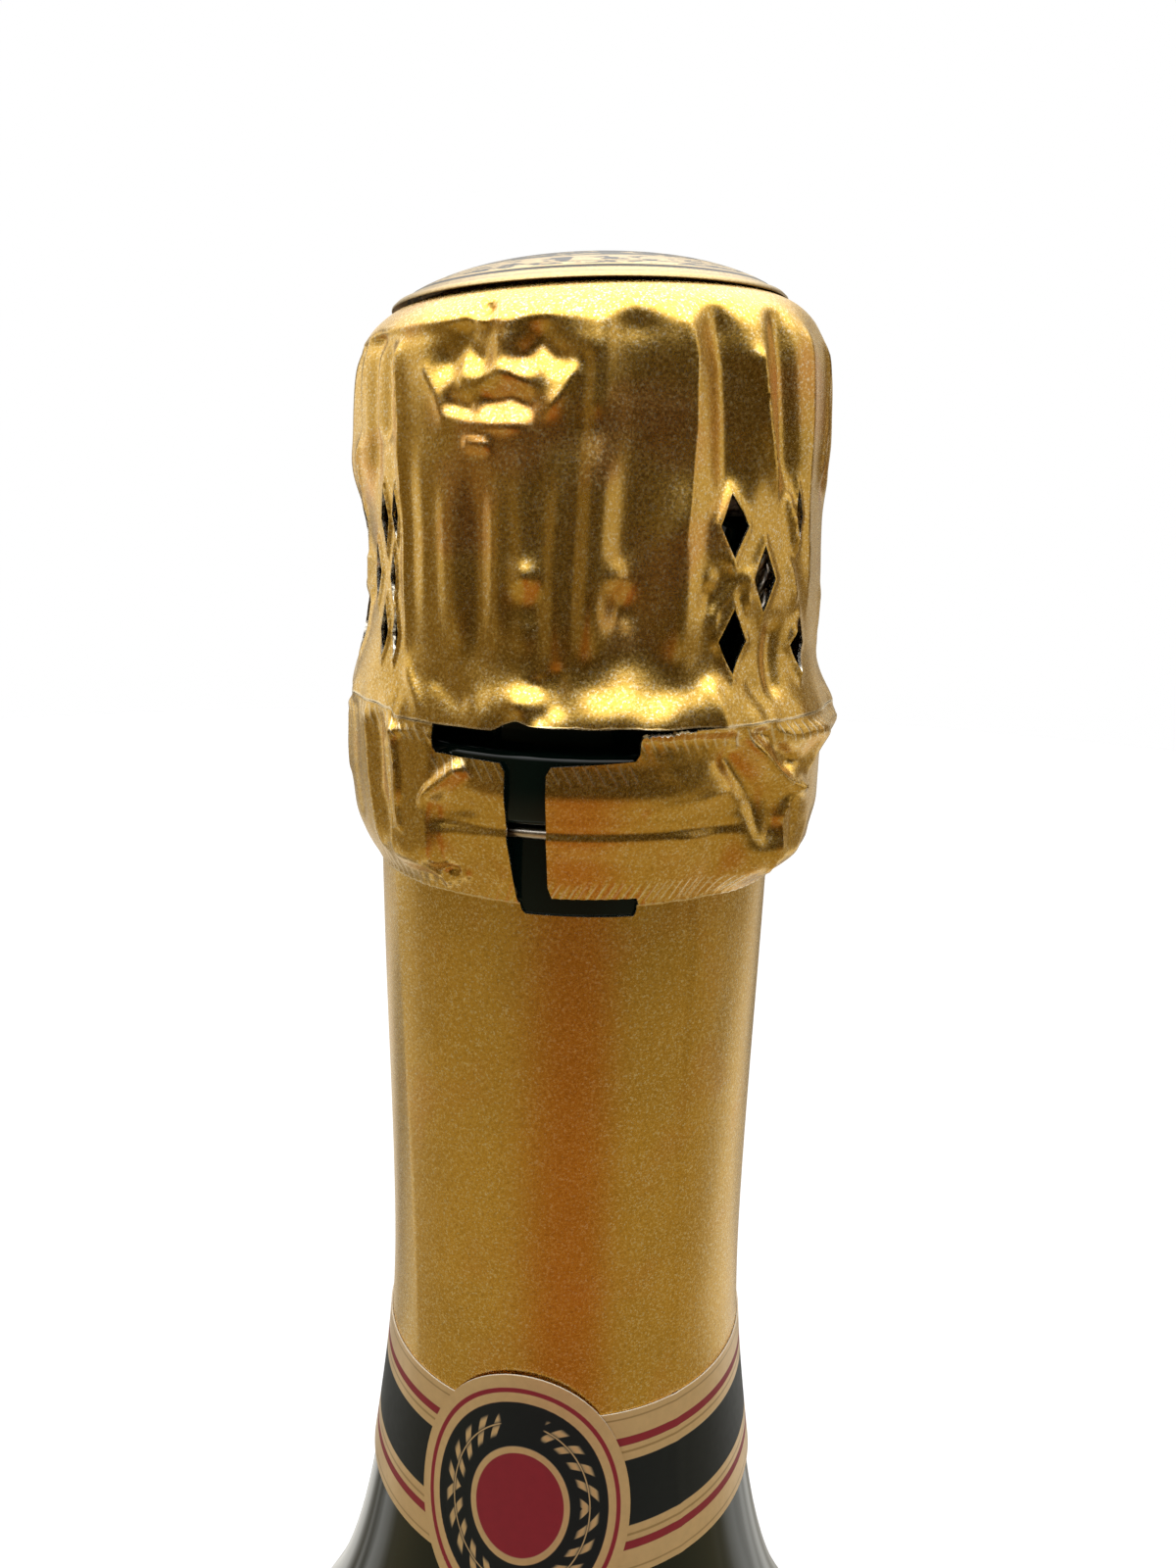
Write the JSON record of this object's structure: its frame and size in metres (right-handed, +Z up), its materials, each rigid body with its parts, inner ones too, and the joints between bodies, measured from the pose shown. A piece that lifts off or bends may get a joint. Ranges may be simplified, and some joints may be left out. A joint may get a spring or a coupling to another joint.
{
  "type": "champagne bottle",
  "caption": "Full sparkling wine bottle with punt, cork, wire cage, gold foil hood with tear strip and pull tab, neck foil and paper labels.",
  "frame": {"origin": "centre of the base, on the surface that the bottle stands on", "axes": "+Z up along the bottle's axis, -Y the front, with the gap of the tear strip and the label's middle"},
  "size_m": [0.088, 0.0882, 0.3172],
  "materials": {
    "dark_glass": "gloss",
    "wine": "gloss",
    "pressed_cork": "matte",
    "whole_cork": "matte",
    "plate_metal": "gloss",
    "cage_wire": "satin",
    "gold_foil": "satin",
    "gold_disc": "satin",
    "collar_paper": "satin",
    "medallion_paper": "satin",
    "body_label_paper": "satin"
  },
  "bodies": {
    "bottle": {"glass_bottle": "dark_glass", "wine": "wine", "tear_strip": "gold_foil", "neck_foil": "gold_foil", "collar_label": "collar_paper", "collar_medallion": "medallion_paper", "front_label": "body_label_paper", "back_label": "body_label_paper"},
    "cork": {"cork_body": "pressed_cork", "cork_disc_upper": "whole_cork", "cork_disc_lower": "whole_cork"},
    "cage": {"cap_plate": "plate_metal", "cage_frame": "cage_wire", "cage_belt": "cage_wire"},
    "hood": {"foil_hood": "gold_foil", "foil_top_disc": "gold_disc"},
    "tab": {"tear_tab": "gold_foil"}
  },
  "joints": [
    {"name": "cork_pull", "type": "slide", "parent": "bottle", "child": "cork", "axis": [0, 0, 1], "range_m": [0, 0.05]},
    {"name": "cage_lift", "type": "slide", "parent": "cork", "child": "cage", "axis": [0, 0, 1], "range_m": [0, 0.05], "deforming": ["cage_frame", "cage_belt"]},
    {"name": "hood_lift", "type": "slide", "parent": "cage", "child": "hood", "axis": [0, 0, 1], "range_m": [0, 0.045]},
    {"name": "tab_fold", "type": "hinge", "parent": "bottle", "child": "tab", "pos_m": [0.00708, -0.01753, 0.279], "axis": [0, 0, 1], "range_deg": [0, 105]}
  ]
}
